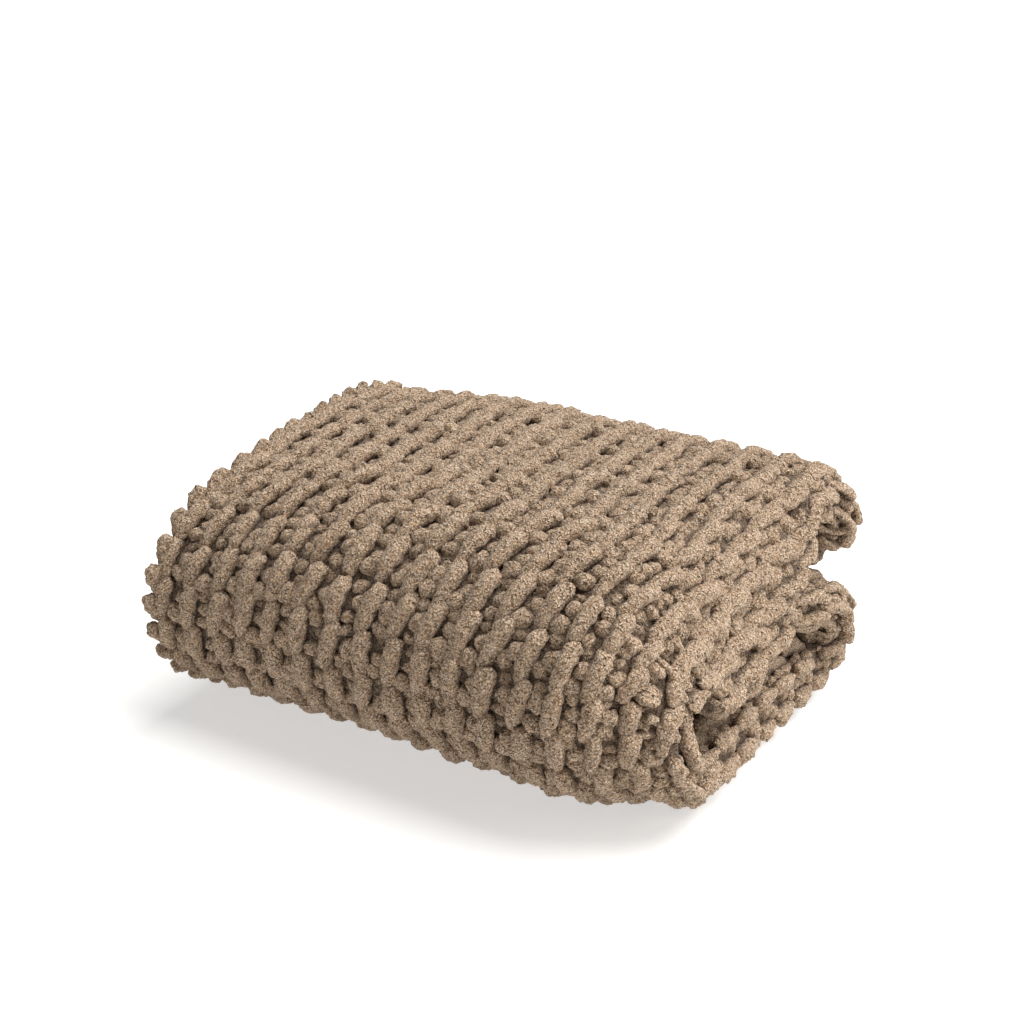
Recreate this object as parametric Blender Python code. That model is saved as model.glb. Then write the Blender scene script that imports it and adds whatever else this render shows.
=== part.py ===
"""Folded chunky knit blanket: one panel of thick ribbed knit, doubled and folded into eight layers.

The cloth is first laid doubled and flat: x runs along the fold roll, s runs along the ribs and n is
the height through the two layers. It is then folded along s into four passes and settled by its
own weight. Metres, +Z up, origin at the middle of the footprint on the surface it rests on.
"""
import math

import bmesh
import bpy

# ---- driving dimensions (metres) ----
LENGTH = 0.600           # along X, from the hems to the doubled-over end
WIDTH = 0.472            # along Y, from the big front roll to the two back lobes
LAYER = 0.0312           # one layer of the rib knit, from yarn crest to yarn crest
LAYER_GAP = 0.0020       # between the two layers of a pass
PASS_GAP = 0.0030        # between one pass and the next
ROLL = 0.121             # how far the front roll reaches forward of its middle

HALF = LAYER + LAYER_GAP / 2             # half the thickness of a doubled pass
PITCH = 2 * HALF + PASS_GAP              # one pass up to the next
HEIGHT = 4 * PITCH - PASS_GAP
BACK_Y = WIDTH / 2 - HALF - PITCH / 2    # axis of the two back lobes
FRONT_Y = -WIDTH / 2 + HALF + ROLL       # axis of the front roll
HEM_Y = FRONT_Y - 0.052                  # where the two inner hems end, inside the roll
PASS_Z = [HALF + PITCH * k for k in range(4)]    # middle heights, lowest pass first

# ---- how finely the shape is divided ----
SPAN_CUTS = 5            # columns along the flat of a layer
CURL_CUTS = 7            # columns where it curls over, the last part of its length
CURL_SHARE = 0.27
END_CUTS = 10            # round the doubled-over end
HEM_CUTS = 4             # round a hem
PASS_CUTS = 7            # along the top and the bottom pass
INNER_CUTS = 11          # along an inner pass
LOBE_CUTS = 8            # round a back lobe
ROLL_CUTS = 16           # round the front roll

BEND_RADIUS = 0.046      # middle line of the end where it curls over the passes below
BEND_START = 0.110       # where the curl starts, short of the full length
END_DEPTH = 0.028        # how far the doubled-over end bulges past its last straight column
END_SQUARE = 2.6         # 2 is a round end, more is blunter
HEM_REACH = 0.110        # the two inner passes are squeezed thinner over this distance
HEM_THIN = 0.66          # to this share of their thickness at the hem

# The doubled-over end and the hems at places along the cloth. end_in, hem_in: how far short of the
# full length they stop (metres, along the cloth). bend: how far the end curls over (degrees).
EDGE_ROWS = [
    # place         end_in  hem_in  bend
    ("hem_upper",    0.118,  0.020,   0),
    ("deep_upper",   0.116,  0.012,   0),
    ("high_upper",   0.110,  0.010,   0),
    ("back_upper",   0.034,  0.006,   0),
    ("lobe_upper",   0.012,  0.001,   0),
    ("back_top",     0.020,  0.006,   0),
    ("near_top",     0.024,  0.010,   8),
    ("high_top",    -0.006,  0.016,  46),
    ("mid_top",     -0.072,  0.030,  72),
    ("roll_top",    -0.066,  0.044,  70),
    ("roll_high",   -0.020,  0.036,  60),
    ("roll_front",  -0.010,  0.028,  45),
    ("roll_low",    -0.004,  0.026,  24),
    ("roll_foot",    0.010,  0.026,   4),
    ("back_foot",    0.020,  0.006,   0),
    ("lobe_lower",   0.008,  0.000,   0),
    ("back_lower",   0.008,  0.004,   0),
    ("near_lower",   0.024,  0.006,   0),
    ("high_lower",   0.100,  0.008,   0),
    ("hem_lower",    0.116,  0.014,   0),
]

# Soft rises and hollows of the settled pile, each a round patch seen from above.
PATCH_ROWS = [
    # x      y       reach  lift
    (-0.20,  0.10,   0.13,  0.004),
    (-0.05, -0.04,   0.12, -0.005),
    (0.10,   0.10,   0.12, -0.004),
    (0.21,  -0.10,   0.11, -0.006),
    (-0.24, -0.14,   0.12, -0.008),
]

# The pile thins towards each end: over this distance, by this share of its height.
END_ROWS = {"right": (0.060, 0.096), "left": (0.240, 0.068)}
BACK_ROW = (0.200, 0.081)                # the same towards the back

SLIT_OPEN = 0.016        # gap that stands open between the two lowest passes at the right end
SLIT_RISE = 0.018        # how far the lowest pass swells up there
SLIT_REACH_X = 0.150
SLIT_MIDDLE_Y = 0.110
SLIT_REACH_Y = 0.120

COLOUR = (0.353, 0.262, 0.171, 1.0)      # warm taupe, linear


def smooth_step(t):
    t = min(1.0, max(0.0, t))
    return t * t * (3 - 2 * t)


def turn_points(y, z, reach, rise, start, stop, cuts):
    """Points of a half turn about (y, z), from start to stop degrees, without its first point."""
    angles = [math.radians(start + (stop - start) * k / cuts) for k in range(1, cuts + 1)]
    return [(y + reach * math.cos(a), z + rise * math.sin(a)) for a in angles]


def line_points(start, stop, cuts):
    """Points of a straight run, without its first point."""
    (y0, z0), (y1, z1) = start, stop
    return [(y0 + (y1 - y0) * k / cuts, z0 + (z1 - z0) * k / cuts) for k in range(1, cuts + 1)]


def fold_path():
    """The middle line of the doubled cloth in the YZ plane, and the index of each named place."""
    foot, low, high, top = PASS_Z
    lobe = PITCH / 2
    middle = HEIGHT / 2
    points = [(HEM_Y, high)]
    places = {"hem_upper": 0}

    def run(new_points, place, back=0):
        points.extend(new_points)
        places[place] = len(points) - 1 - back

    run(line_points((HEM_Y, high), (BACK_Y, high), INNER_CUTS), "back_upper")
    places["high_upper"] = places["back_upper"] - 2
    places["deep_upper"] = places["back_upper"] - 4
    run(turn_points(BACK_Y, high + lobe, lobe, lobe, -90, 90, LOBE_CUTS), "lobe_upper", LOBE_CUTS // 2)
    places["back_top"] = len(points) - 1
    run(line_points((BACK_Y, top), (FRONT_Y, top), PASS_CUTS), "roll_top")
    places["near_top"] = places["back_top"] + 1
    places["high_top"] = places["back_top"] + 2
    places["mid_top"] = places["roll_top"] - 2
    run(turn_points(FRONT_Y, middle, ROLL, 1.5 * PITCH, 90, 270, ROLL_CUTS), "roll_front", ROLL_CUTS // 2)
    places["roll_high"] = places["roll_front"] - ROLL_CUTS // 4
    places["roll_low"] = places["roll_front"] + ROLL_CUTS // 4
    places["roll_foot"] = len(points) - 1
    run(line_points((FRONT_Y, foot), (BACK_Y, foot), PASS_CUTS), "back_foot")
    run(turn_points(BACK_Y, foot + lobe, lobe, lobe, -90, 90, LOBE_CUTS), "lobe_lower", LOBE_CUTS // 2)
    places["back_lower"] = len(points) - 1
    run(line_points((BACK_Y, low), (HEM_Y, low), INNER_CUTS), "hem_lower")
    places["near_lower"] = places["back_lower"] + 3
    places["high_lower"] = places["back_lower"] + 6
    return points, places


def path_normals(points):
    """The outward side at each point: the right hand of someone walking along the path."""
    normals = []
    for k in range(len(points)):
        (y0, z0), (y1, z1) = points[max(k - 1, 0)], points[min(k + 1, len(points) - 1)]
        length = math.hypot(y1 - y0, z1 - z0)
        normals.append(((z1 - z0) / length, -(y1 - y0) / length))
    return normals


def lengths_along(points):
    total = [0.0]
    for (y0, z0), (y1, z1) in zip(points, points[1:]):
        total.append(total[-1] + math.hypot(y1 - y0, z1 - z0))
    return total


def edges_at(s, places, lengths):
    """end_in, hem_in and bend at a distance s along the cloth, eased from one place to the next."""
    rows = [(lengths[places[name]], values) for name, *values in EDGE_ROWS]
    for (s0, before), (s1, after) in zip(rows, rows[1:]):
        if s <= s1:
            t = smooth_step((s - s0) / (s1 - s0))
            return [a + (b - a) * t for a, b in zip(before, after)]
    return rows[-1][1]


def curl_end(x, n, bend):
    """Curls the doubled-over end towards the inside of the fold, by up to bend degrees."""
    start = LENGTH / 2 - BEND_START
    along = x - start
    if along <= 0:
        return x, n
    angle = min(along / BEND_RADIUS, math.radians(bend))
    rest = along - BEND_RADIUS * angle
    curled_x = start + (BEND_RADIUS + n) * math.sin(angle) + rest * math.cos(angle)
    curled_n = (BEND_RADIUS + n) * math.cos(angle) - BEND_RADIUS - rest * math.sin(angle)
    return curled_x, curled_n


def hem_squeeze(s, total):
    """The share of its thickness that the cloth keeps at a distance s along it."""
    near = 1 - min(s, total - s) / HEM_REACH
    return 1 - (1 - HEM_THIN) * smooth_step(near)


def hairpin_outline():
    """The outline of the doubled cloth seen along the ribs: (x, n), x running from 0 to 1."""
    outer = HALF
    inner = LAYER_GAP / 2
    straight = 1 - END_DEPTH / LENGTH
    flat = straight * (1 - CURL_SHARE)
    columns = [flat * k / SPAN_CUTS for k in range(SPAN_CUTS)]
    columns += [flat + (straight - flat) * k / CURL_CUTS for k in range(CURL_CUTS + 1)]

    def end_turn(height, depth):
        turn = []
        for k in range(1, END_CUTS):
            a = math.pi / 2 - math.pi * k / END_CUTS
            reach = abs(math.cos(a)) ** (2 / END_SQUARE)
            rise = math.copysign(abs(math.sin(a)) ** (2 / END_SQUARE), math.sin(a))
            turn.append((straight + depth / LENGTH * reach, height * rise))
        return turn

    def hem_turn(side):
        middle = side * (inner + LAYER / 2)
        angles = [math.pi * k / HEM_CUTS for k in range(1, HEM_CUTS)]
        return [(-LAYER * 0.3 / LENGTH * math.sin(a), middle - LAYER / 2 * math.cos(a)) for a in angles]

    outline = [(x, outer) for x in columns] + end_turn(outer, END_DEPTH)
    outline += [(x, -outer) for x in reversed(columns)] + hem_turn(-1)
    outline += [(x, -inner) for x in columns] + end_turn(inner, inner)[::-3]
    outline += [(x, inner) for x in reversed(columns)] + hem_turn(1)
    return outline


def settle(x, y, z):
    """The folded pile as its own weight leaves it: thinner ends, soft patches and the open slit."""
    side = "right" if x > 0 else "left"
    reach, drop = END_ROWS[side]
    scale = 1 - drop * smooth_step((abs(x) - (LENGTH / 2 - reach)) / reach)
    reach, drop = BACK_ROW
    scale *= 1 - drop * max(0.0, (y - (WIDTH / 2 - reach)) / reach) ** 2
    lift = 0.0
    for patch_x, patch_y, reach, rise in PATCH_ROWS:
        far = ((x - patch_x) ** 2 + (y - patch_y) ** 2) / reach ** 2
        lift += rise * math.exp(-2 * far)
    opening = SLIT_OPEN * smooth_step((x - (LENGTH / 2 - SLIT_REACH_X)) / SLIT_REACH_X)
    opening *= math.exp(-((y - SLIT_MIDDLE_Y) / SLIT_REACH_Y) ** 2)
    rising = opening * SLIT_RISE / SLIT_OPEN
    foot_top, low_bottom = 2 * HALF, 2 * HALF + PASS_GAP
    if z <= foot_top:
        opened = rising * z / foot_top
    elif z <= low_bottom:
        opened = rising + opening * (z - foot_top) / PASS_GAP
    else:
        opened = (rising + opening) * (HEIGHT - z) / (HEIGHT - low_bottom)
    return x, y, (z + opened) * scale + lift * z / HEIGHT


def flat_slab(lengths):
    """The doubled cloth before folding: its outline drawn out along the ribs, one row per fold point."""
    bm = bmesh.new()
    ring = [bm.verts.new((x, 0.0, n)) for x, n in hairpin_outline()]
    first_cap = cap = bm.faces.new(ring)
    for step in (b - a for a, b in zip(lengths, lengths[1:])):
        made = bmesh.ops.extrude_face_region(bm, geom=[cap])["geom"]
        moved = [g for g in made if isinstance(g, bmesh.types.BMVert)]
        bmesh.ops.translate(bm, verts=moved, vec=(0.0, step, 0.0))
        if cap is not first_cap:
            bm.faces.remove(cap)
        cap = next(g for g in made if isinstance(g, bmesh.types.BMFace))
    caps = [face for face in bm.faces if len(face.verts) > 4]
    bmesh.ops.triangulate(bm, faces=caps)
    return bm


def fold_slab(bm, points, places, lengths):
    """Carries every vertex of the flat slab to its place in the folded pile."""
    normals = path_normals(points)
    for vert in bm.verts:
        share, s, n = vert.co
        row = min(range(len(lengths)), key=lambda k: abs(lengths[k] - s))
        (y, z), (ny, nz) = points[row], normals[row]
        end_in, hem_in, bend = edges_at(lengths[row], places, lengths)
        squeeze = hem_squeeze(lengths[row], lengths[-1])
        z += math.copysign(HALF * (1 - squeeze), HEIGHT / 2 - z)
        n *= squeeze
        left = -LENGTH / 2 + LAYER * 0.3 + hem_in
        right = LENGTH / 2 - end_in
        x, n = curl_end(left + (right - left) * share, n, bend)
        vert.co = settle(x, y + n * ny, z + n * nz)


def make_blanket():
    points, places = fold_path()
    lengths = lengths_along(points)
    bm = flat_slab(lengths)
    fold_slab(bm, points, places, lengths)
    bmesh.ops.triangulate(bm, faces=bm.faces[:])
    bmesh.ops.recalc_face_normals(bm, faces=bm.faces[:])
    mesh = bpy.data.meshes.new("blanket")
    bm.to_mesh(mesh)
    bm.free()
    mesh.shade_smooth()
    blanket = bpy.data.objects.new("blanket", mesh)
    bpy.context.scene.collection.objects.link(blanket)

    knit = bpy.data.materials.new("taupe_chenille_knit")
    knit.use_nodes = True
    shader = knit.node_tree.nodes["Principled BSDF"]
    shader.inputs["Base Color"].default_value = COLOUR
    shader.inputs["Roughness"].default_value = 0.95
    shader.inputs["Metallic"].default_value = 0.0
    mesh.materials.append(knit)
    print(f"cloth along the ribs {lengths[-1]:.3f} m, across them {2 * LENGTH:.2f} m when opened out")
    print("triangles:", len(mesh.polygons))
    return blanket


for old in list(bpy.data.objects):
    bpy.data.objects.remove(old, do_unlink=True)
make_blanket()
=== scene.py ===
# %% [markdown]
# # A folded chunky knit blanket
# The blanket is one panel of thick ribbed knit, doubled once across its ribs and then folded along
# them into four passes: a fat roll at the front, two round lobes at the back, and eight layers.
# A block with the knit as relief would have a smooth outline and no layers at its ends. So the plan
# is a knitter's: work the stitches on a flat panel, then fold it, by one function that can carry
# any point of the cloth to its place in the pile.

import math
import random

import bmesh
import bpy
from mathutils import Matrix, Vector, noise


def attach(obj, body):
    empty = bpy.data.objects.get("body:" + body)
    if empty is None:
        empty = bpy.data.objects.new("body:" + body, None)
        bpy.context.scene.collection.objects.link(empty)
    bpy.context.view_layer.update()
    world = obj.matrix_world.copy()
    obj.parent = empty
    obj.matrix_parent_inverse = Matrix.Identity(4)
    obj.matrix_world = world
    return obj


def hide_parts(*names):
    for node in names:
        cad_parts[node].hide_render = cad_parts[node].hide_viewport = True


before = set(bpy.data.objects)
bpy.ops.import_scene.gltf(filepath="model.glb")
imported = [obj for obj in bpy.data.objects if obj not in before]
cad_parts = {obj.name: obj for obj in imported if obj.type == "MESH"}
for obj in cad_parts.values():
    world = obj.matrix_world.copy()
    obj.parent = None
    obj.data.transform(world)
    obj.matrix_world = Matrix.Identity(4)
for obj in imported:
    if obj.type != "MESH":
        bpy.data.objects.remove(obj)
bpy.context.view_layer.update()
random.seed(11)

# %% [markdown]
# ## The folds
# The solid gives the size, and these sizes repeat how it is folded, so that the knit lies in the
# same place. A point of the cloth has three numbers: `across` is how far it lies from the hems
# along the hairpin of the doubled cloth, `along` is how far it lies along the ribs, and `height`
# is how far it stands off the cloth's outer face, where 0 is the crest of a rib.

# %% Sizes of the fold, in metres
LENGTH = 0.600          # along the front roll
WIDTH = 0.472           # from the front roll to the back lobes
LAYER = 0.0312          # one layer of knit, crest to crest
HALF = 0.0322           # half the thickness of the doubled cloth
GAP = 0.003             # between one pass and the next
PITCH = 2 * HALF + GAP  # one pass up to the next
HEIGHT = 4 * PITCH - GAP
ROLL = 0.121            # how far the front roll reaches forward of its axis
LOBE = PITCH / 2
BACK_Y = WIDTH / 2 - HALF - LOBE
FRONT_Y = -WIDTH / 2 + HALF + ROLL
HEM_Y = FRONT_Y - 0.052  # the hems are tucked in this far behind the roll
FOOT, LOW, HIGH, TOP = (HALF + PITCH * k for k in range(4))

# %% [markdown]
# Seen from its end, the doubled cloth is one line that runs back and forth: straight passes, half
# circles at the back, and a tall half oval at the front. A curve object could draw it, but plain
# lists of points can be measured as well, and the measures say where each turn begins.

# %% The middle line of the doubled cloth, seen from its end
def arc(y, z, reach, rise, start, stop, steps=90):
    turn = [math.radians(start + (stop - start) * k / steps) for k in range(1, steps + 1)]
    return [(y + reach * math.cos(a), z + rise * math.sin(a)) for a in turn]


def line(start, stop, steps=60):
    return [tuple(a + (b - a) * k / steps for a, b in zip(start, stop)) for k in range(1, steps + 1)]


def running(points):
    """How long a line of points is, up to each of them."""
    total = [0.0]
    for (y0, z0), (y1, z1) in zip(points, points[1:]):
        total.append(total[-1] + math.hypot(y1 - y0, z1 - z0))
    return total


path = [(HEM_Y, HIGH)]
stops = {"hem_upper": 0}
for name, points in [
        ("back_upper", line((HEM_Y, HIGH), (BACK_Y, HIGH))),
        ("back_top", arc(BACK_Y, HIGH + LOBE, LOBE, LOBE, -90, 90)),
        ("roll_top", line((BACK_Y, TOP), (FRONT_Y, TOP))),
        ("roll_foot", arc(FRONT_Y, HEIGHT / 2, ROLL, 1.5 * PITCH, 90, 270)),
        ("back_foot", line((FRONT_Y, FOOT), (BACK_Y, FOOT))),
        ("back_lower", arc(BACK_Y, FOOT + LOBE, LOBE, LOBE, -90, 90)),
        ("hem_lower", line((BACK_Y, LOW), (HEM_Y, LOW)))]:
    path += points
    stops[name] = len(path) - 1
middle = running(path)
place = {name: middle[k] for name, k in stops.items()}
CLOTH = middle[-1]
print("length along the ribs:", round(CLOTH, 3))

# %% [markdown]
# Stitches keep their length in the outer face, not in the middle of the cloth, because the outer
# face is stretched where the cloth turns. So a table runs along the outer face, and every length
# there is turned back into a length of the middle line.

# %% Lengths along the outer face, and back to the middle line
YARN_CENTRE = 0.008     # how deep the centre of a leg lies under its crest


def side_of(k):
    """The direction square to the middle line, outwards."""
    (y0, z0), (y1, z1) = path[max(k - 1, 0)], path[min(k + 1, len(path) - 1)]
    size = math.hypot(y1 - y0, z1 - z0)
    return (z1 - z0) / size, -(y1 - y0) / size


sides = [side_of(k) for k in range(len(path))]


def lengths_at(off):
    """Lengths along the line that lies `off` outside the middle line."""
    return running([(y + ny * off, z + nz * off) for (y, z), (ny, nz) in zip(path, sides)])


def look_up(value, keys, values):
    """The value that stands beside a key in two lists, also between two rows and past the ends."""
    low, high = 0, len(keys) - 1
    if value <= keys[0]:
        return values[0] + (value - keys[0]) * (values[1] - values[0]) / (keys[1] - keys[0])
    if value >= keys[-1]:
        return values[-1] + (value - keys[-1]) * (values[-1] - values[-2]) / (keys[-1] - keys[-2])
    while high - low > 1:
        mid = (low + high) // 2
        low, high = (mid, high) if keys[mid] <= value else (low, mid)
    share = (value - keys[low]) / (keys[high] - keys[low])
    return values[low] + (values[high] - values[low]) * share


outer = lengths_at(HALF - YARN_CENTRE)
print("outer face along the ribs:", round(outer[-1], 3))

# %% [markdown]
# Seen along the ribs, the doubled cloth is a hairpin: flat above and below, with a blunt round end.
# The end is half of a superellipse, which lies between an oval and a box, as thick cloth does.

# %% The hairpin of the doubled cloth, seen along the ribs
END_DEPTH = 0.028       # bulge of the doubled-over end
SQUARENESS = 2.6        # 2 would be an oval
HAIRPIN_STEPS = 60
STRAIGHT = LENGTH - END_DEPTH


def bulge(share, power):
    return math.copysign(abs(share) ** power, share)


hairpin = [(0.0, HALF, 0.0, 1.0), (STRAIGHT, HALF, 0.0, 1.0)]
for k in range(1, HAIRPIN_STEPS):
    a = math.pi / 2 - math.pi * k / HAIRPIN_STEPS
    out, up = bulge(math.cos(a), 2 / SQUARENESS), bulge(math.sin(a), 2 / SQUARENESS)
    facing = (bulge(out, SQUARENESS - 1) / END_DEPTH, bulge(up, SQUARENESS - 1) / HALF)
    hairpin.append((STRAIGHT + END_DEPTH * out, HALF * up, *Vector(facing).normalized()))
hairpin += [(STRAIGHT, -HALF, 0.0, -1.0), (0.0, -HALF, 0.0, -1.0)]
hairpin_at = running([spot[:2] for spot in hairpin])
hairpin_columns = list(zip(*hairpin))
print("cloth across the ribs:", round(hairpin_at[-1], 3), "of it flat:", round(2 * STRAIGHT, 3))

# %% [markdown]
# ## Uneven ends
# Nobody folds a blanket square. Each layer stops a little short of the next or beyond it, and the
# end of the top layers hangs over and curls down. A table gives this at some places along the cloth,
# and between them the values change smoothly. Sculpting could do it too, but a table can be read.

# %% How far the ends stop short, and how far the top one curls over
BETWEEN = [
    # place         after         before        share of the way
    ("deep_upper",  "hem_upper",  "back_upper", 7 / 11),
    ("high_upper",  "hem_upper",  "back_upper", 9 / 11),
    ("lobe_upper",  "back_upper", "back_top",   1 / 2),
    ("near_top",    "back_top",   "roll_top",   1 / 7),
    ("high_top",    "back_top",   "roll_top",   2 / 7),
    ("mid_top",     "back_top",   "roll_top",   5 / 7),
    ("roll_high",   "roll_top",   "roll_foot",  1 / 4),
    ("roll_front",  "roll_top",   "roll_foot",  1 / 2),
    ("roll_low",    "roll_top",   "roll_foot",  3 / 4),
    ("lobe_lower",  "back_foot",  "back_lower", 1 / 2),
    ("near_lower",  "back_lower", "hem_lower",  3 / 11),
    ("high_lower",  "back_lower", "hem_lower",  6 / 11),
]
EDGES = [
    # place         end_in  hem_in  bend in degrees
    ("hem_upper",    0.118,  0.020,   0),
    ("deep_upper",   0.116,  0.012,   0),
    ("high_upper",   0.110,  0.010,   0),
    ("back_upper",   0.034,  0.006,   0),
    ("lobe_upper",   0.012,  0.001,   0),
    ("back_top",     0.020,  0.006,   0),
    ("near_top",     0.024,  0.010,   8),
    ("high_top",    -0.006,  0.016,  46),
    ("mid_top",     -0.072,  0.030,  72),
    ("roll_top",    -0.066,  0.044,  70),
    ("roll_high",   -0.020,  0.036,  60),
    ("roll_front",  -0.010,  0.028,  45),
    ("roll_low",    -0.004,  0.026,  24),
    ("roll_foot",    0.010,  0.026,   4),
    ("back_foot",    0.020,  0.006,   0),
    ("lobe_lower",   0.008,  0.000,   0),
    ("back_lower",   0.008,  0.004,   0),
    ("near_lower",   0.024,  0.006,   0),
    ("high_lower",   0.100,  0.008,   0),
    ("hem_lower",    0.118,  0.014,   0),
]
HEM_MARGIN = 0.3 * LAYER  # the outermost stitches reach this far past the hem of the cloth
for name, after, before, share in BETWEEN:
    place[name] = place[after] + (place[before] - place[after]) * share
edge_rows = sorted((place[name], values) for name, *values in EDGES)


def eased(t):
    t = min(1.0, max(0.0, t))
    return t * t * (3 - 2 * t)


def edges_at(s):
    for (s0, before), (s1, after) in zip(edge_rows, edge_rows[1:]):
        if s <= s1:
            t = eased((s - s0) / (s1 - s0))
            return [a + (b - a) * t for a, b in zip(before, after)]
    return edge_rows[-1][1]


def ends_at(s):
    """Where the cloth starts and stops along the pile, and how far its end is bent down."""
    end_in, hem_in, bend = edges_at(s)
    return HEM_MARGIN - LENGTH / 2 + hem_in, LENGTH / 2 - end_in, bend


print("end of the top layers, in and out:", [round(ends_at(place[n])[1], 3) for n in ("near_top", "mid_top")])

# %% [markdown]
# ## A settled pile
# Under its own weight the pile sinks at its ends and at the back, the top has shallow hollows, and
# the doubled-over end opens a little above the lowest pass. These are smooth changes of height, so
# formulas for them come last, when a point of the cloth is already in its fold.

# %% The settled pile
BEND_RADIUS = 0.046     # where the top of the doubled-over end curls down
BEND_START = 0.110      # and how far before the end that begins
HEM_FALL = (0.240, 0.068)   # reach, and share of the height lost, at the hems
END_FALL = (0.060, 0.096)   # the same at the doubled-over end
BACK_FALL = (0.200, 0.081)  # and at the back
SPLIT_LIFT, SPLIT_GAP = 0.018, 0.016  # at the open end: lift of the lowest pass, and gap above it
SPLIT_REACH, SPLIT_Y, SPLIT_SPREAD = 0.150, 0.110, 0.120
HEM_PRESS, HEM_PRESS_REACH = 0.34, 0.110  # how much thinner the cloth is at the tucked hems
PATCHES = [
    # x      y       reach  lift
    (-0.20,  0.10,   0.13,  0.004),
    (-0.05, -0.04,   0.12, -0.005),
    (0.10,   0.10,   0.12, -0.004),
    (0.21,  -0.10,   0.11, -0.006),
    (-0.24, -0.14,   0.12, -0.008),
]


def curled(x, n, bend):
    start = LENGTH / 2 - BEND_START
    beyond = x - start
    if beyond <= 0:
        return x, n
    angle = min(beyond / BEND_RADIUS, math.radians(bend))
    rest = beyond - BEND_RADIUS * angle
    return (start + (BEND_RADIUS + n) * math.sin(angle) + rest * math.cos(angle),
            (BEND_RADIUS + n) * math.cos(angle) - BEND_RADIUS - rest * math.sin(angle))


def settled(x, y, z):
    reach, drop = END_FALL if x > 0 else HEM_FALL
    scale = 1 - drop * eased((abs(x) - (LENGTH / 2 - reach)) / reach)
    reach, drop = BACK_FALL
    scale *= 1 - drop * max(0.0, (y - (WIDTH / 2 - reach)) / reach) ** 2
    lift = sum(rise * math.exp(-2 * ((x - px) ** 2 + (y - py) ** 2) / wide ** 2)
               for px, py, wide, rise in PATCHES)
    split = eased((x - (LENGTH / 2 - SPLIT_REACH)) / SPLIT_REACH)
    split *= math.exp(-((y - SPLIT_Y) / SPLIT_SPREAD) ** 2)
    rising, opening, lowest = SPLIT_LIFT * split, SPLIT_GAP * split, 2 * HALF
    if z <= lowest:
        opened = rising * z / lowest
    elif z <= lowest + GAP:
        opened = rising + opening * (z - lowest) / GAP
    else:
        opened = (rising + opening) * (HEIGHT - z) / (HEIGHT - lowest - GAP)
    return Vector((x, y, max(0.0, (z + opened) * scale + lift * z / HEIGHT)))


def folded(x_flat, off, n, s):
    """A point of the doubled cloth, carried to its place in the pile."""
    s_in = min(max(s, 0.0), CLOTH)
    spot = look_up(s_in, middle, range(len(path)))
    k = min(int(spot), len(path) - 2)
    f = spot - k
    y, z = (a + (b - a) * f for a, b in zip(path[k], path[k + 1]))
    ny, nz = (a + (b - a) * f for a, b in zip(sides[k], sides[k + 1]))
    y, z = y - nz * (s - s_in), z + ny * (s - s_in)
    left, right, bend = ends_at(s_in)
    squeeze = 1 - HEM_PRESS * eased(1 - min(s_in, CLOTH - s_in) / HEM_PRESS_REACH)
    z += math.copysign(HALF * (1 - squeeze), HEIGHT / 2 - z)
    x, n = curled(left + (right - left) * x_flat / LENGTH + off, n * squeeze, bend)
    return settled(x, y + n * ny, z + n * nz)


def fold(across, along, height):
    """A point over the outer face of the doubled cloth, carried to its place in the pile."""
    x, n, nx, nn = (look_up(across, hairpin_at, column) for column in hairpin_columns)
    return folded(x, nx * height, n + nn * height, look_up(along, outer, middle))


print("front of the roll:", [round(c, 3) for c in folded(LENGTH / 2, 0.0, HALF, place["roll_front"])])

# %% [markdown]
# The curl at the end stretches the outer face across the ribs as well. The ribs of a real panel
# keep their distance from its hem, so a second table measures the face from the hem outwards, in
# rows along the ribs. Without it the ribs would fan out over the curl.

# %% Distances from the hem, measured over the curl
STEPS_ACROSS, ROWS_ALONG = 110, 90
steps_across = [hairpin_at[-1] * k / STEPS_ACROSS for k in range(STEPS_ACROSS + 1)]


def face_lengths(along):
    left, right, bend = ends_at(look_up(along, outer, middle))
    points = []
    for across in steps_across:
        x, n = (look_up(across, hairpin_at, column) for column in hairpin_columns[:2])
        points.append(curled(left + (right - left) * x / LENGTH, n, bend))
    return running(points)


faces_across = [face_lengths(outer[-1] * k / ROWS_ALONG) for k in range(ROWS_ALONG + 1)]


def from_hem(distance, along):
    """The place across the hairpin that lies this far from the hem, measured over the face."""
    spot = min(max(along / outer[-1] * ROWS_ALONG, 0.0), ROWS_ALONG - 0.001)
    k = int(spot)
    before, after = (look_up(distance, faces_across[j], steps_across) for j in (k, k + 1))
    return before + (after - before) * (spot - k)


def fold_knit(distance, along, height):
    return fold(from_hem(distance, along), along, height)


print("face from hem to hem:", [round(row[-1], 3) for row in (faces_across[0], faces_across[45])])

# %% [markdown]
# ## One stitch
# In this rib every stitch shows one fat leg of yarn that leans a little. Its head stands proud and
# its foot dips under the head of the next stitch. Beside it in the valley are three knobs, where the
# yarn turns to the back. A curve with a bevel could draw the leg, but it costs many faces. So each
# is a small cage, and Subdivision Surface rounds it into yarn later, when all are in place.

# %% Sizes of a stitch
RIB = 0.0345            # one rib to the next
COURSE = 0.0440         # one stitch to the next along the rib
LEG_CAGE = 1.50         # a square cage is this much wider than the round yarn it turns into
KNOB_CAGE = 1.24        # and a cube this much wider than its knob
LEG = [
    # aside    along    height   radius
    (0.0030,  -0.0245, -0.0096, 0.0082),
    (0.0024,  -0.0140, -0.0068, 0.0093),
    (0.0006,  -0.0010, -0.0082, 0.0088),
    (-0.0016,  0.0140, -0.0118, 0.0078),
    (-0.0036,  0.0310, -0.0178, 0.0062),
]
KNOBS = [
    # aside    along    height   long    wide    deep    turn
    (0.0172,  -0.0158, -0.0208, 0.0190, 0.0180, 0.0200, -14),
    (0.0200,   0.0005, -0.0184, 0.0220, 0.0200, 0.0220,  16),
    (0.0140,   0.0150, -0.0172, 0.0220, 0.0200, 0.0220, -10),
]

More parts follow.
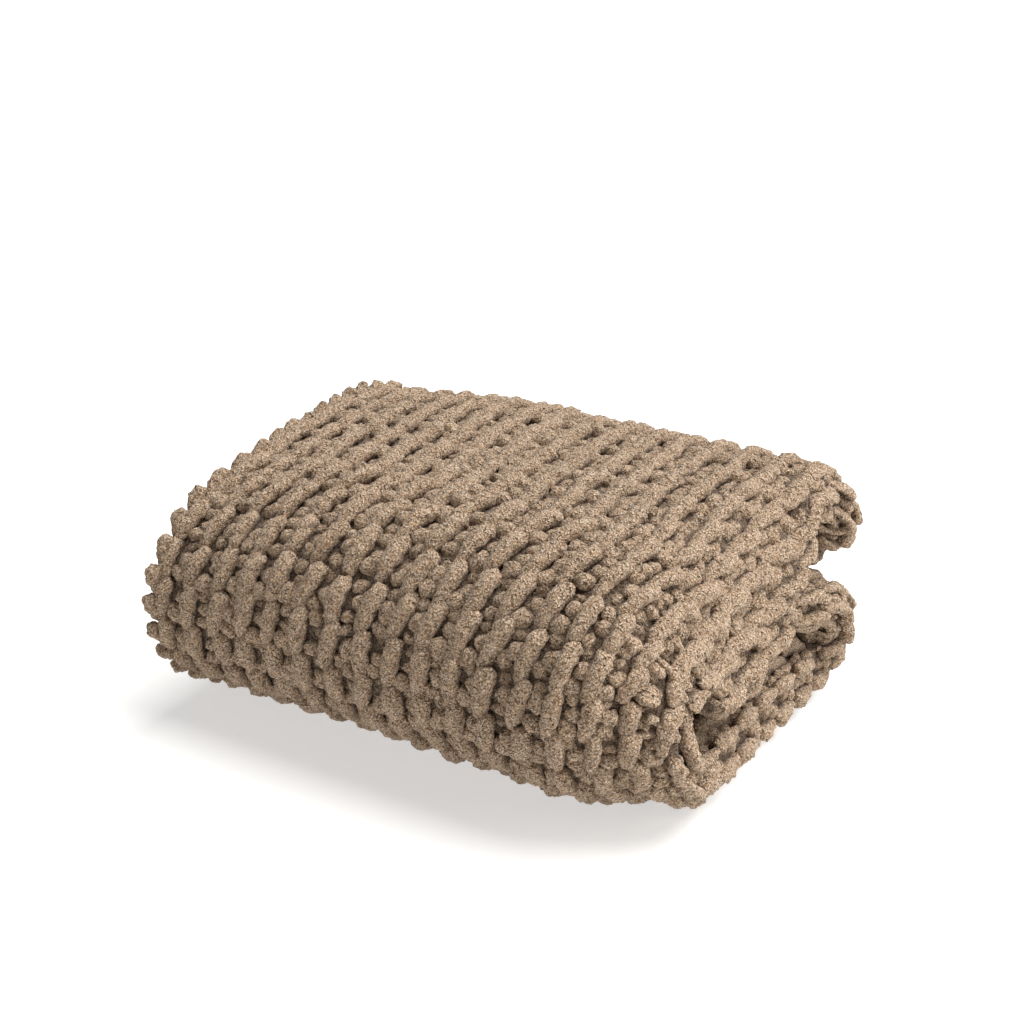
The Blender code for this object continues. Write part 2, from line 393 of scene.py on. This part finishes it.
# %% [markdown]
# The leg is a square tube with a ring of four corners for each row of its table, each ring turned to
# face the way the yarn runs. The knobs are cubes, which Subdivision Surface turns into pebbles.

# %% The leg, a square tube from ring to ring, and the knobs from cubes
def leg_cage():
    bm = bmesh.new()
    rings = []
    for k, (aside, along, height, radius) in enumerate(LEG):
        after, before = LEG[min(k + 1, len(LEG) - 1)], LEG[max(k - 1, 0)]
        course = Vector([b - a for a, b in zip(before[:3], after[:3])]).normalized()
        beside = course.cross(Vector((0, 0, 1))).normalized()
        upward = beside.cross(course)
        centre, reach = Vector((aside, along, height)), radius * LEG_CAGE / math.sqrt(2)
        rings.append([bm.verts.new(centre + (beside * right + upward * up) * reach)
                      for right, up in ((1, 1), (-1, 1), (-1, -1), (1, -1))])
    for ring, following in zip(rings, rings[1:]):
        for k in range(4):
            bm.faces.new((ring[k], following[k], following[k - 3], ring[k - 3]))
    bm.faces.new(rings[0])
    bm.faces.new(rings[-1][::-1])
    return bm


def knob_cage(long, wide, deep):
    bm = bmesh.new()
    made = bmesh.ops.create_cube(bm, size=1.0)
    bmesh.ops.scale(bm, verts=made["verts"], vec=Vector((long, wide, deep)) * KNOB_CAGE)
    return bm


def as_mesh(bm, name):
    mesh = bpy.data.meshes.new(name)
    bm.to_mesh(mesh)
    bm.free()
    return mesh


leg_mesh = as_mesh(leg_cage(), "leg_cage")
knob_meshes = [as_mesh(knob_cage(*size), "knob_cage") for _, _, _, *size, _ in KNOBS]
print("faces of one stitch:", len(leg_mesh.polygons) + sum(len(m.polygons) for m in knob_meshes))

# %% [markdown]
# ## Knitting
# The stitches are set out on the flat cloth, each a little different in size, lean and place, as
# hand-worked thick yarn is. Instances on a grid would be quicker, but they would stay rigid, while
# yarn bends with the cloth. So the cages are copied into one mesh, and then every corner is folded.

# %% Setting one stitch
LEG_SLOPE = 0.24        # how steeply a leg dips from its head to its foot
LEG_STRAY, LEG_LEAN = (0.0011, 0.0016, 0.0008), 4.0
LEG_WIDTHS, LEG_LENGTHS = (0.92, 1.10), (0.96, 1.05)
KNOB_STRAY, KNOB_TURN, KNOB_TILT = (0.0016, 0.0018, 0.0018), 16, 12
KNOB_SIZES, KNOB_SHAPES = (0.82, 1.16), (0.9, 1.1)


def stray(spreads):
    return Vector([random.gauss(0, spread) for spread in spreads])


def rotated(degrees, axis):
    return Matrix.Rotation(math.radians(degrees), 4, axis)


def put(bm, mesh, matrix):
    start = len(bm.verts)
    bm.from_mesh(mesh)
    bm.verts.ensure_lookup_table()
    bmesh.ops.transform(bm, matrix=matrix, verts=bm.verts[start:])


def stitch_matrices(across, along, stretch=1, dip=1.0):
    """Where the leg and the knobs of one stitch go on the flat cloth."""
    spot = Vector((across, along, 0.0)) + stray(LEG_STRAY)
    lean = rotated(random.gauss(0, LEG_LEAN), "Z")
    size = Matrix.Diagonal((random.uniform(*LEG_WIDTHS), random.uniform(*LEG_LENGTHS) * stretch, 1.0, 1.0))
    raised = Matrix(((1, 0, 0, 0), (0, 1, 0, 0), (0, LEG_SLOPE * (1 - dip), 1, 0), (0, 0, 0, 1)))
    yield leg_mesh, Matrix.Translation(spot) @ lean @ raised @ size
    for mesh, (aside, up, height, *_, turn) in zip(knob_meshes, KNOBS):
        jitter = stray(KNOB_STRAY)
        at = Matrix.Translation(Vector((across + aside, along + up * stretch, height)) + jitter)
        at @= Matrix.Diagonal((1.0, stretch, 1.0, 1.0))
        tilt = rotated(turn + random.gauss(0, KNOB_TURN), "Z")
        tilt @= rotated(random.gauss(0, KNOB_TILT), "Y")
        grow = random.uniform(*KNOB_SIZES)
        shape = Matrix.Diagonal((grow, grow * random.uniform(*KNOB_SHAPES), grow, 1.0))
        yield mesh, at @ tilt @ shape


# %% [markdown]
# Rows of thick yarn wander, so a slow drift moves whole neighbourhoods of stitches together. Where
# the cloth turns sharply its inner side is crowded, and there one longer stitch stands for two. Each
# corner also keeps how deep it lies, as an attribute, and the material paints shade from it, so the
# valleys of the knit are painted darker.

# %% Working and folding a whole patch of stitches
INNER_WORKED = 0.045    # how far the stitches go on past the doubled-over end
CROWDED = 0.62          # below this share of the flat spacing, every second stitch is left out
DRIFT_ACROSS, DRIFT_ALONG = 0.005, 0.012
DRIFT_STEPS = (0.31, 0.23)  # how quickly the drift changes, per rib and per course
DRIFT_SLICES = (4.3, 8.7)  # where the noise is cut, for the drift across and along
LUMP_SIZE, LUMP_DEPTH = 0.0058, 0.0070
KNIT_DEEP = 0.020       # below the crests, where a valley is darkest
lumps = bpy.data.textures.new("lumps in the yarn", "CLOUDS")
lumps.noise_scale, lumps.noise_depth = LUMP_SIZE, 2
pieces = []


def outer_at(name):
    return look_up(place[name], middle, outer)


outer_start, outer_stop = outer_at("back_upper"), outer_at("back_lower")
print("outer face from notch to notch:", round(outer_stop - outer_start, 3))


def crowding(distance, along, reach=0.01):
    """How closely the folding packs the stitches here: 1 on the flat, less where they bunch up."""
    before, after = (fold_knit(distance, along + step, -YARN_CENTRE) for step in (-reach, reach))
    return (after - before).length / (2 * reach)


def shown(name, thing):
    """Puts new data into the scene as an object."""
    made = bpy.data.objects.new(name, thing)
    bpy.context.scene.collection.objects.link(made)
    return made


def finish_knit(bm, name, levels, place_point, deepest=KNIT_DEEP):
    # painted shade: each corner keeps how deep it lies under the crests, from 0 to 1, and the yarn is painted
    # darker there
    painted_shade = bm.verts.layers.float.new("painted_shade")
    for vert in bm.verts:
        vert[painted_shade] = min(1.0, max(0.0, -vert.co.z / deepest))
        vert.co = place_point(*vert.co)
    piece = shown(name, as_mesh(bm, name))
    piece.data.shade_smooth()
    rounding = piece.modifiers.new("rounded yarn", "SUBSURF")
    rounding.levels = rounding.render_levels = levels
    pushed = piece.modifiers.new(lumps.name, "DISPLACE")
    pushed.texture, pushed.texture_coords = lumps, "LOCAL"
    pushed.strength, pushed.mid_level = LUMP_DEPTH, 0.5
    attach(piece, "root")
    pieces.append(piece)
    print(name, "cage faces:", len(piece.data.polygons))


def knit(name, ribs, courses, levels=2, worked=INNER_WORKED, dip=1.0):
    bm = bmesh.new()
    for rib in ribs:
        for course in courses:
            distance, along = (rib + 0.5) * RIB, outer_start + (course + 0.5) * COURSE
            if from_hem(distance, along) > hairpin_at[-2] + worked:
                continue
            keep = 1 if crowding(distance, along) > CROWDED else 2
            if course % keep:
                continue
            here = rib * DRIFT_STEPS[0], course * DRIFT_STEPS[1]
            aside, onward = (noise.noise(Vector((*here, z))) for z in DRIFT_SLICES)
            moved = distance + aside * DRIFT_ACROSS, along + onward * DRIFT_ALONG
            for mesh, matrix in stitch_matrices(*moved, keep, dip):
                put(bm, mesh, matrix)
    finish_knit(bm, name, levels, fold_knit)


# %% [markdown]
# ## The outer face
# The face that shows is worked in patches, from the notch behind the upper lobe, over the top and
# round the roll, to the lower lobe. Round the roll a leg dips less, because the turn itself already
# spreads the stitches. The underside is not seen, so it is rounded one step less.

# %% Work the outer face, from notch to notch
LOBE_MARGIN = 0.07      # the stitches go on this far into the notches
LOW_DIP = 0.45          # how much of the usual slope a leg keeps round the roll


def courses_between(start, stop):
    first = math.ceil((start - outer_start) / COURSE)
    return range(first, math.ceil((stop - outer_start) / COURSE))


ribs_flat = range(int(STRAIGHT / RIB))
turns = [outer_at(name) for name in ("back_top", "roll_top", "roll_foot", "back_foot")]
back_top_at, top_stop, foot_start, foot_stop = turns
knit("knit_upper_lobe", ribs_flat, courses_between(outer_start - LOBE_MARGIN, back_top_at))
knit("knit_top", ribs_flat, courses_between(back_top_at, top_stop))
knit("knit_roll", ribs_flat, courses_between(top_stop, foot_start), dip=LOW_DIP)
knit("knit_underside", ribs_flat, courses_between(foot_start, foot_stop), levels=1, dip=LOW_DIP)
knit("knit_lower_lobe", ribs_flat, courses_between(foot_stop, outer_stop + LOBE_MARGIN))

# %% [markdown]
# ## The doubled-over end
# The last ribs run round the turn of the hairpin to the inner face. They go further where the end
# stands open and one can look in: under the flap and above the lowest pass.

# %% Work the doubled-over end, round to the inner face
RIBS_END = 8
ROLL_WORKED, LOWER_WORKED = 0.085, 0.110
ribs_end = range(ribs_flat.stop, ribs_flat.stop + RIBS_END)
knit("knit_end_upper", ribs_end, courses_between(outer[0], top_stop))
knit("knit_end_roll", ribs_end, courses_between(top_stop, foot_start), worked=ROLL_WORKED, dip=LOW_DIP)
knit("knit_end_lower", ribs_end, courses_between(foot_start, outer[-1]), worked=LOWER_WORKED)

# %% [markdown]
# ## Casting off
# The hems are a chain of short legs, two abreast, that lie along the edge of each layer. The two
# rows lean against each other, as the halves of a cast-off stitch do. The same leg is used again,
# shorter and thinner, with its height turned to point out of the edge.

# %% The chain along the hems of both layers
CHAIN = 0.0290          # one link to the next
LINK_SIZE = (0.88, 0.78, 0.85, 1.0)
LINK_LEAN, LINK_ASIDE, LINK_SINK = 22, 0.0075, -0.002
HEM_REACH = 0.0005      # how far the crest of the chain stands past the hem of the cloth
HEM_DEEP = 0.060        # a hem lies open to the light, so its painted shade stays lighter than in the valleys of the knit
hem_middle = HALF - LAYER / 2


def hem_link(side, row):
    lengths = lengths_at(side * hem_middle)

    def place_point(across, along, height):
        n = side * hem_middle + row * LINK_ASIDE + across
        return folded(0.0, -HEM_REACH - height, n, look_up(along, lengths, middle))
    return lengths[-1], place_point


for side, layer_name in ((1, "outer"), (-1, "inner")):
    for row, row_name in ((1, "a"), (-1, "b")):
        reach, place_point = hem_link(side, row)
        bm = bmesh.new()
        for k in range(int(reach / CHAIN)):
            spot = Vector((random.gauss(0, 0.0006), (k + 0.5 + 0.25 * row) * CHAIN, LINK_SINK))
            lean = rotated(LINK_LEAN * row + random.gauss(0, 5), "Z")
            put(bm, leg_mesh, Matrix.Translation(spot) @ lean @ Matrix.Diagonal(LINK_SIZE))
        finish_knit(bm, f"hem_{layer_name}_{row_name}", 2, place_point, deepest=HEM_DEEP)

# %% [markdown]
# ## The cloth behind the stitches
# A thin sheet lies in the middle of the knit, so that no gap between stitches shows through. It is
# one flat grid, folded by the same function, with a little thickness from Solidify. What shows
# through the gaps is painted shade: the sheet is painted dark like the shaded bottom of a valley,
# and lighter near the hems, where it lies closer to the light.

# %% The backing sheet
SHEET_HEIGHT = -0.0163  # under the crests of the ribs
SHEET_INSET = 0.008     # the hems of the sheet stay behind the chain
SHEET_ROWS, SHEET_COLUMNS = 220, 96
# painted shade on the backing sheet: its share at the hems, its share inside, and how far in it changes
SHADE_AT_HEM, SHADE_INSIDE, SHADE_REACH = 0.2, 0.8, 0.030
full_across = hairpin_at[-1]
bm = bmesh.new()
bmesh.ops.create_grid(bm, x_segments=SHEET_COLUMNS, y_segments=SHEET_ROWS, size=0.5)
painted_shade = bm.verts.layers.float.new("painted_shade")
for vert in bm.verts:
    across = SHEET_INSET + (vert.co.x + 0.5) * (full_across - 2 * SHEET_INSET)
    along = (vert.co.y + 0.5) * outer[-1]
    inside = eased(min(across, full_across - across) / SHADE_REACH)
    vert[painted_shade] = SHADE_AT_HEM + (SHADE_INSIDE - SHADE_AT_HEM) * inside
    vert.co = fold(across, along, SHEET_HEIGHT)
sheet = shown("folded_sheet", as_mesh(bm, "folded_sheet"))
sheet.data.shade_smooth()
wall = sheet.modifiers.new("thickness of the backing", "SOLIDIFY")
wall.thickness, wall.offset = 0.003, 0.0
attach(sheet, "root")
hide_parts("blanket")
print("sheet of", round(full_across, 3), "by", round(CLOTH, 3), "m")

# %% [markdown]
# ## Chenille
# Chenille yarn is a core with a short dense pile all round it. The eye reads it as matt, grainy and
# a little lighter at grazing angles. Tips are pale and the gaps between tufts are brown. Hair would
# cost millions of faces, so the tufts are the cells of a Voronoi texture, bent out of shape by
# noise. They drive the colour and a fine bump, and clumps of tufts drive a broader one.

# %% Colours and nodes
def linear(hex_code):
    parts = [int(hex_code[k:k + 2], 16) / 255 for k in (0, 2, 4)]
    return [c / 12.92 if c <= 0.04045 else ((c + 0.055) / 1.055) ** 2.4 for c in parts] + [1.0]


def socket_of(node, key):
    """An input of a node: by its place, as in _6, or by its name, as in From_Min."""
    if key[1:].isdigit():
        return node.inputs[int(key[1:])]
    return node.inputs[key.replace("_", " ")]


def set_inputs(node, **inputs):
    for key, value in inputs.items():
        socket = socket_of(node, key)
        if isinstance(value, bpy.types.NodeSocket):
            node.id_data.links.new(value, socket)
        else:
            socket.default_value = value


def add(tree, kind, settings=None, **inputs):
    """Adds a node, with its settings, and links or values for its sockets."""
    node = tree.nodes.new(kind)
    for key, value in (settings or {}).items():
        setattr(node, key, value)
    set_inputs(node, **inputs)
    return node


print("linear value of mid grey:", round(linear("808080")[0], 3))

# %% The yarn material
TUFT, TUFT_RELIEF = 0.0018, 0.0018
CLUMP, CLUMP_RELIEF = 0.0044, 0.0065
TUFT_STRAY, STRAY_SIZE = 0.0030, 0.0020  # how far tufts stray from regular cells, and how finely
VALLEY_SHADE = "4c3624"       # painted shade: the brown of the deepest valleys, laid over the pile
PILE = [
    # place  colour, from the gap between two tufts to a tip
    (0.10, "8b6d50"),
    (0.48, "caac8d"),
    (0.90, "f5e4d2"),
]


def chenille(name):
    material = bpy.data.materials.new(name)
    material.use_nodes = True
    tree = material.node_tree
    where = add(tree, "ShaderNodeTexCoord").outputs["Object"]
    bent = add(tree, "ShaderNodeTexNoise", Vector=where, Scale=1 / STRAY_SIZE, Detail=1.0)
    strayed = add(tree, "ShaderNodeVectorMath", {"operation": "MULTIPLY_ADD"},
                  _0=bent.outputs["Color"], _1=(TUFT_STRAY,) * 3, _2=where)
    cells = add(tree, "ShaderNodeTexVoronoi", Vector=strayed.outputs[0], Scale=1 / TUFT)
    tufts = add(tree, "ShaderNodeMapRange", Value=cells.outputs["Distance"], From_Min=0.85, From_Max=0.0)
    pile = add(tree, "ShaderNodeValToRGB", Fac=tufts.outputs[0])
    pile.color_ramp.elements.new(0.5)
    for element, (position, colour) in zip(pile.color_ramp.elements, PILE):
        element.position, element.color = position, linear(colour)
    clumps = add(tree, "ShaderNodeTexNoise", Vector=where, Scale=1 / CLUMP, Detail=1.0, Roughness=0.5)
    shade = add(tree, "ShaderNodeMapRange", Value=clumps.outputs["Fac"],
                From_Min=0.3, From_Max=0.7, To_Min=0.82, To_Max=1.10)
    lit = add(tree, "ShaderNodeVectorMath", {"operation": "SCALE"}, _0=pile.outputs["Color"],
              Scale=shade.outputs[0])
    # painted shade: where a corner lies deep under the crests, the yarn colour is multiplied towards a dark
    # brown
    deep = add(tree, "ShaderNodeAttribute", {"attribute_name": "painted_shade"})
    shade_mask = add(tree, "ShaderNodeMapRange", Value=deep.outputs["Fac"], From_Min=0.35, From_Max=1.0)
    shaded_pile = add(tree, "ShaderNodeMix", {"data_type": "RGBA", "blend_type": "MULTIPLY"},
                _0=shade_mask.outputs[0], _6=lit.outputs[0], _7=linear(VALLEY_SHADE))
    lumpy = add(tree, "ShaderNodeBump", Strength=1.0, Distance=CLUMP_RELIEF, Height=clumps.outputs["Fac"])
    relief = add(tree, "ShaderNodeBump", Strength=1.0, Distance=TUFT_RELIEF, Height=tufts.outputs[0],
                 Normal=lumpy.outputs["Normal"])
    set_inputs(tree.nodes["Principled BSDF"], Base_Color=shaded_pile.outputs[2], Normal=relief.outputs["Normal"],
               Roughness=0.95, Specular_IOR_Level=0.2, Sheen_Weight=0.30, Sheen_Roughness=0.5,
               Sheen_Tint=linear("f2e8dc"))
    return material


yarn = chenille("taupe_chenille_yarn")
for piece in pieces + [sheet]:
    piece.data.materials.clear()
    piece.data.materials.append(yarn)
print("materials:", yarn.name)

# %% [markdown]
# ## Floor
# In a studio the floor and the wall are one sheet of paper. Here the floor is a wide plane that
# glows a little, so that it stays white with a grey base and the pile leaves only a faint shadow.

# %% Floor
bm = bmesh.new()
bmesh.ops.create_grid(bm, x_segments=1, y_segments=1, size=40.0)
floor = shown("floor", as_mesh(bm, "floor"))
paper = bpy.data.materials.new("white_paper")
paper.use_nodes = True
set_inputs(paper.node_tree.nodes["Principled BSDF"], Base_Color=linear("c8c6c3"), Roughness=0.9,
           Emission_Color=linear("ffffff"), Emission_Strength=0.55)
floor.data.materials.append(paper)

# %% [markdown]
# ## Light
# The light comes mainly from above, through a wide silk, slightly from the back and the right, so
# the top is light and the roll falls away into shade. A sun with a wide angle gives the same soft
# shadows anywhere in the scene. A weak softbox at the right lifts the end, and the world fills in.

# %% Lights and world
SILK_STRENGTH, SILK_ANGLE, SILK_RAY = 4.6, math.radians(50), Vector((-0.36, -0.30, -1.0))
BOX_POWER, BOX_SIZE = 16, 1.2
BOX_SPOT, BOX_AIM = Vector((2.2, 0.2, 1.1)), Vector((0.1, 0, 0.1))
FILL = 0.16


def lamp(name, kind, ray, power):
    light = bpy.data.lights.new(name, kind)
    light.energy = power
    holder = shown(name, light)
    holder.rotation_euler = ray.to_track_quat("-Z", "Y").to_euler()
    return holder


softbox = lamp("right_softbox", "AREA", BOX_AIM - BOX_SPOT, BOX_POWER)
softbox.location = BOX_SPOT
softbox.data.shape, softbox.data.size = "DISK", BOX_SIZE
silk = lamp("overhead_silk", "SUN", SILK_RAY, SILK_STRENGTH)
silk.data.angle = SILK_ANGLE
world = bpy.data.worlds.new("studio")
world.use_nodes = True
set_inputs(world.node_tree.nodes["Background"], Color=(1.0, 1.0, 1.0, 1.0), Strength=FILL)
bpy.context.scene.world = world
bpy.context.scene.view_settings.view_transform = "Standard"
print("lights:", softbox.name, silk.name)

# %% [markdown]
# ## Camera
# A long lens from a little above, off the near corner of the pile, shows the top, the roll and the
# doubled-over end at once, with little perspective. The camera circles a point inside the pile and
# is then shifted sideways and up, so that its view stays level.

# %% Camera
AZIMUTH, ELEVATION, DISTANCE = math.radians(33.56), math.radians(21.69), 1.707
LENS, SENSOR = 60.1875, 36.0
PIVOT = Vector((0, 0, 0.12))
SHIFT_ASIDE, SHIFT_UP = 0.0086, 0.0760
forward = Vector((-math.sin(AZIMUTH) * math.cos(ELEVATION), math.cos(AZIMUTH) * math.cos(ELEVATION),
                  -math.sin(ELEVATION)))
aside = Vector((math.cos(AZIMUTH), math.sin(AZIMUTH), 0.0))
upward = aside.cross(forward)
camera = shown("camera", bpy.data.cameras.new("camera"))
camera.data.sensor_width, camera.data.lens = SENSOR, LENS
camera.location = PIVOT - forward * DISTANCE + aside * SHIFT_ASIDE + upward * SHIFT_UP
camera.rotation_euler = forward.to_track_quat("-Z", "Y").to_euler()
camera.data.clip_start = 0.01
bpy.context.scene.camera = camera
print("camera at:", [round(c, 3) for c in camera.location])
